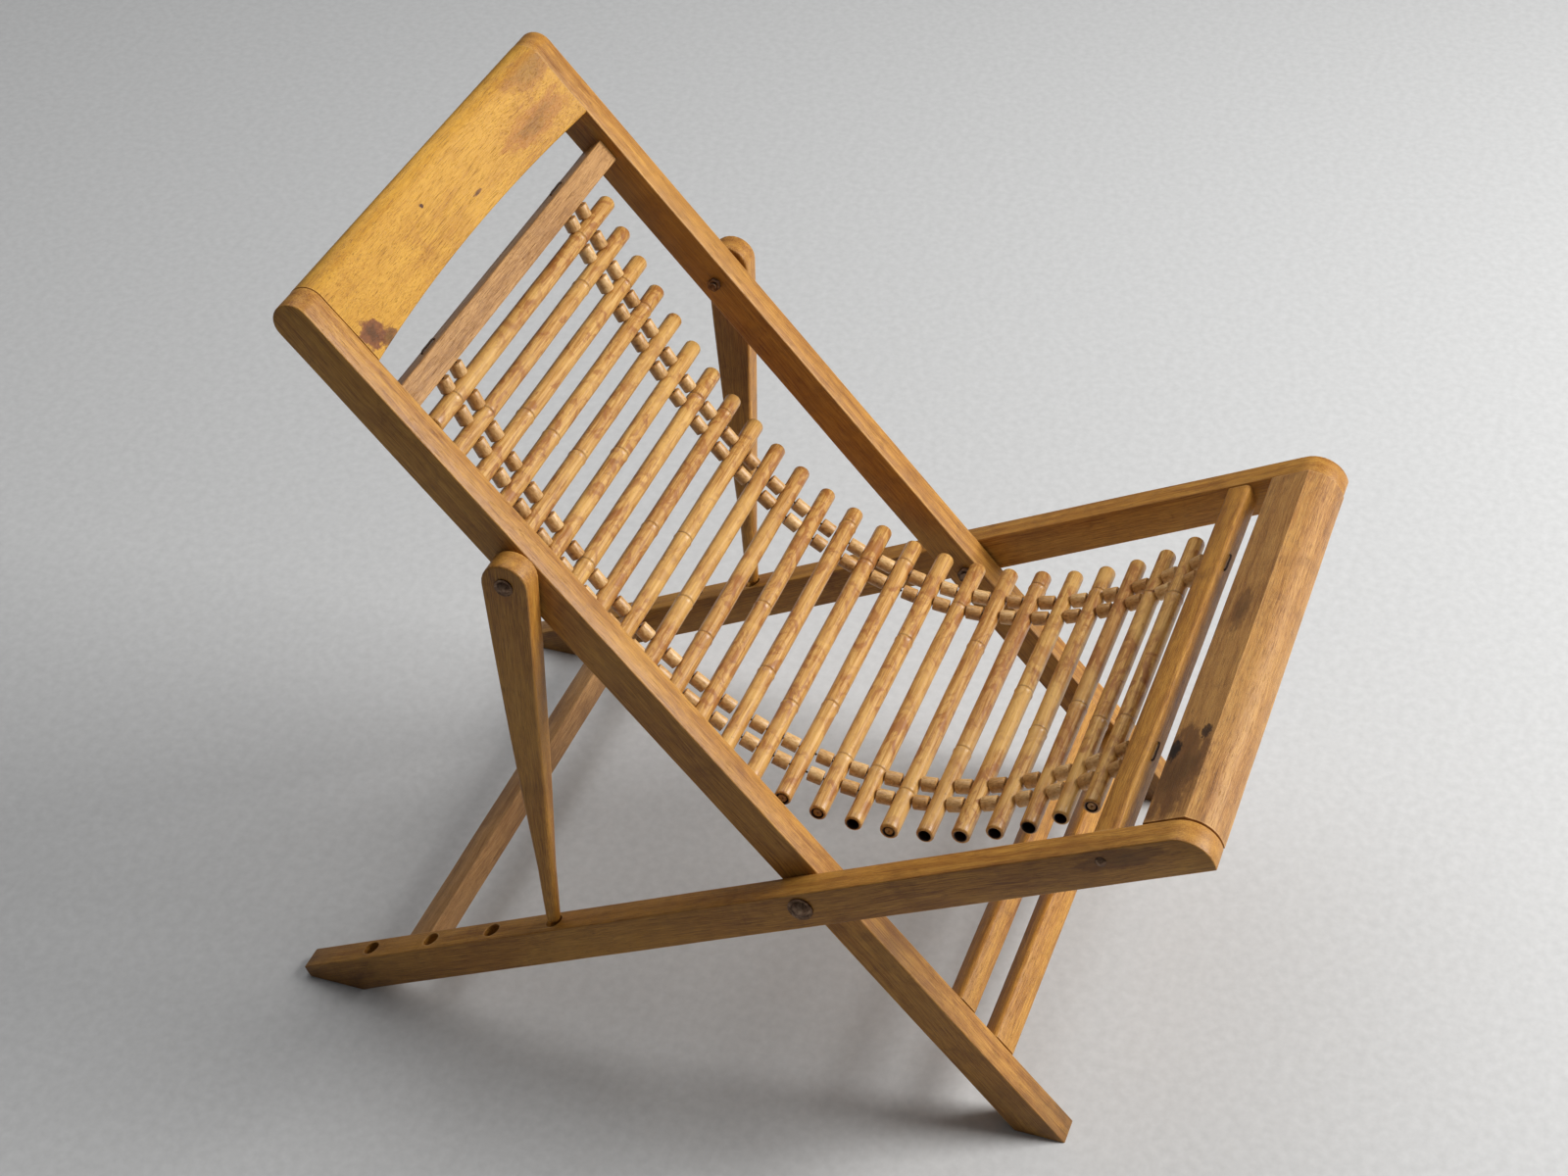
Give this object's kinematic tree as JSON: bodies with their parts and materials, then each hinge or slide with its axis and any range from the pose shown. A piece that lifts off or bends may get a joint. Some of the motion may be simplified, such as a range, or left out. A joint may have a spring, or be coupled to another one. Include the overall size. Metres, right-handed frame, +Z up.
{
  "type": "folding deck chair",
  "caption": "Folding wooden deck chair: two crossed frames on pivot bolts, prop arms pegged into the seat rails, and a sagging sling of bamboo canes strung with beads.",
  "frame": {"origin": "on the floor, in the middle of the chair's box", "axes": "+Z up, +X across the chair, -Y towards the front of the seat"},
  "size_m": [0.6212, 0.9346, 0.8186],
  "materials": {
    "frame_wood": "varnished, worn edges",
    "bar_wood": "varnished, worn",
    "bamboo": "varnished bamboo cane",
    "bead": "varnished turned wood",
    "string": "dark waxed cord",
    "hardware": "aged dark bolt heads"
  },
  "bodies": {
    "seat_frame": {"seat_rail_left": "frame_wood", "seat_rail_right": "frame_wood", "front_bar": "bar_wood", "sling_bar": "bar_wood", "rear_crossbar": "bar_wood", "pivot_bolt_left": "hardware", "pivot_bolt_right": "hardware", "bar_screw_left": "hardware", "bar_screw_right": "hardware"},
    "back_frame": {"back_rail_left": "frame_wood", "back_rail_right": "frame_wood", "top_crossbar": "bar_wood", "headboard": "bar_wood", "foot_crossbar_upper": "bar_wood", "foot_crossbar_lower": "bar_wood", "prop_screw_left": "hardware", "prop_screw_right": "hardware"},
    "prop_arm_left": {"prop_left": "frame_wood"},
    "prop_arm_right": {"prop_right": "frame_wood"},
    "sling_upper_1": {"cane_01": "bamboo", "cane_02": "bamboo", "cane_03": "bamboo", "beads_upper_1": "bead", "strings_upper_1": "string"},
    "sling_upper_2": {"cane_04": "bamboo", "cane_05": "bamboo", "cane_06": "bamboo", "beads_upper_2": "bead", "strings_upper_2": "string"},
    "sling_upper_3": {"cane_07": "bamboo", "cane_08": "bamboo", "cane_09": "bamboo", "beads_upper_3": "bead", "strings_upper_3": "string"},
    "sling_upper_4": {"cane_10": "bamboo", "cane_11": "bamboo", "cane_12": "bamboo", "beads_upper_4": "bead", "strings_upper_4": "string"},
    "sling_lower_1": {"cane_24": "bamboo", "cane_23": "bamboo", "cane_22": "bamboo", "beads_lower_1": "bead", "strings_lower_1": "string"},
    "sling_lower_2": {"cane_21": "bamboo", "cane_20": "bamboo", "cane_19": "bamboo", "beads_lower_2": "bead", "strings_lower_2": "string"},
    "sling_lower_3": {"cane_18": "bamboo", "cane_17": "bamboo", "cane_16": "bamboo", "beads_lower_3": "bead", "strings_lower_3": "string"},
    "sling_lower_4": {"cane_15": "bamboo", "cane_14": "bamboo", "cane_13": "bamboo", "beads_lower_4": "bead", "strings_lower_4": "string"}
  },
  "joints": [
    {"name": "fold", "type": "hinge", "parent": "seat_frame", "child": "back_frame", "pos_m": [0, -0.0831, 0.2665], "axis": [-1, 0, 0], "range_deg": [0, 56]},
    {"name": "prop_swing_left", "type": "hinge", "parent": "back_frame", "child": "prop_arm_left", "pos_m": [-0.2885, 0.19683, 0.57693], "axis": [1, 0, 0], "range_deg": [0, 110]},
    {"name": "prop_swing_right", "type": "hinge", "parent": "back_frame", "child": "prop_arm_right", "pos_m": [0.2885, 0.19683, 0.57693], "axis": [1, 0, 0], "range_deg": [0, 110]},
    {"name": "upper_link_1", "type": "hinge", "parent": "back_frame", "child": "sling_upper_1", "pos_m": [0, 0.31153, 0.69439], "axis": [1, 0, 0], "range_deg": [-16, 0]},
    {"name": "upper_link_2", "type": "hinge", "parent": "sling_upper_1", "child": "sling_upper_2", "pos_m": [0, 0.25904, 0.59043], "axis": [1, 0, 0], "range_deg": [0, 5]},
    {"name": "upper_link_3", "type": "hinge", "parent": "sling_upper_2", "child": "sling_upper_3", "pos_m": [0, 0.20139, 0.49919], "axis": [1, 0, 0], "range_deg": [0, 8]},
    {"name": "upper_link_4", "type": "hinge", "parent": "sling_upper_3", "child": "sling_upper_4", "pos_m": [0, 0.1322, 0.41646], "axis": [1, 0, 0], "range_deg": [0, 16]},
    {"name": "lower_link_1", "type": "hinge", "parent": "seat_frame", "child": "sling_lower_1", "pos_m": [0, -0.35272, 0.40481], "axis": [1, 0, 0], "range_deg": [0, 14]},
    {"name": "lower_link_2", "type": "hinge", "parent": "sling_lower_1", "child": "sling_lower_2", "pos_m": [0, -0.259, 0.33631], "axis": [1, 0, 0], "range_deg": [-20, 0]},
    {"name": "lower_link_3", "type": "hinge", "parent": "sling_lower_2", "child": "sling_lower_3", "pos_m": [0, -0.15733, 0.30204], "axis": [1, 0, 0], "range_deg": [-20, 0]},
    {"name": "lower_link_4", "type": "hinge", "parent": "sling_lower_3", "child": "sling_lower_4", "pos_m": [0, -0.0503, 0.30672], "axis": [1, 0, 0], "range_deg": [-21, 0]}
  ],
  "couplings": [
    {"joint": "prop_swing_left", "follows": "fold", "ratio": 1.95},
    {"joint": "prop_swing_right", "follows": "fold", "ratio": 1.95},
    {"joint": "upper_link_1", "follows": "fold", "ratio": -0.2654},
    {"joint": "upper_link_2", "follows": "fold", "ratio": 0.0757},
    {"joint": "upper_link_3", "follows": "fold", "ratio": 0.1298},
    {"joint": "upper_link_4", "follows": "fold", "ratio": 0.2608},
    {"joint": "lower_link_1", "follows": "fold", "ratio": 0.2394},
    {"joint": "lower_link_2", "follows": "fold", "ratio": -0.333},
    {"joint": "lower_link_3", "follows": "fold", "ratio": -0.3412},
    {"joint": "lower_link_4", "follows": "fold", "ratio": -0.3485}
  ]
}
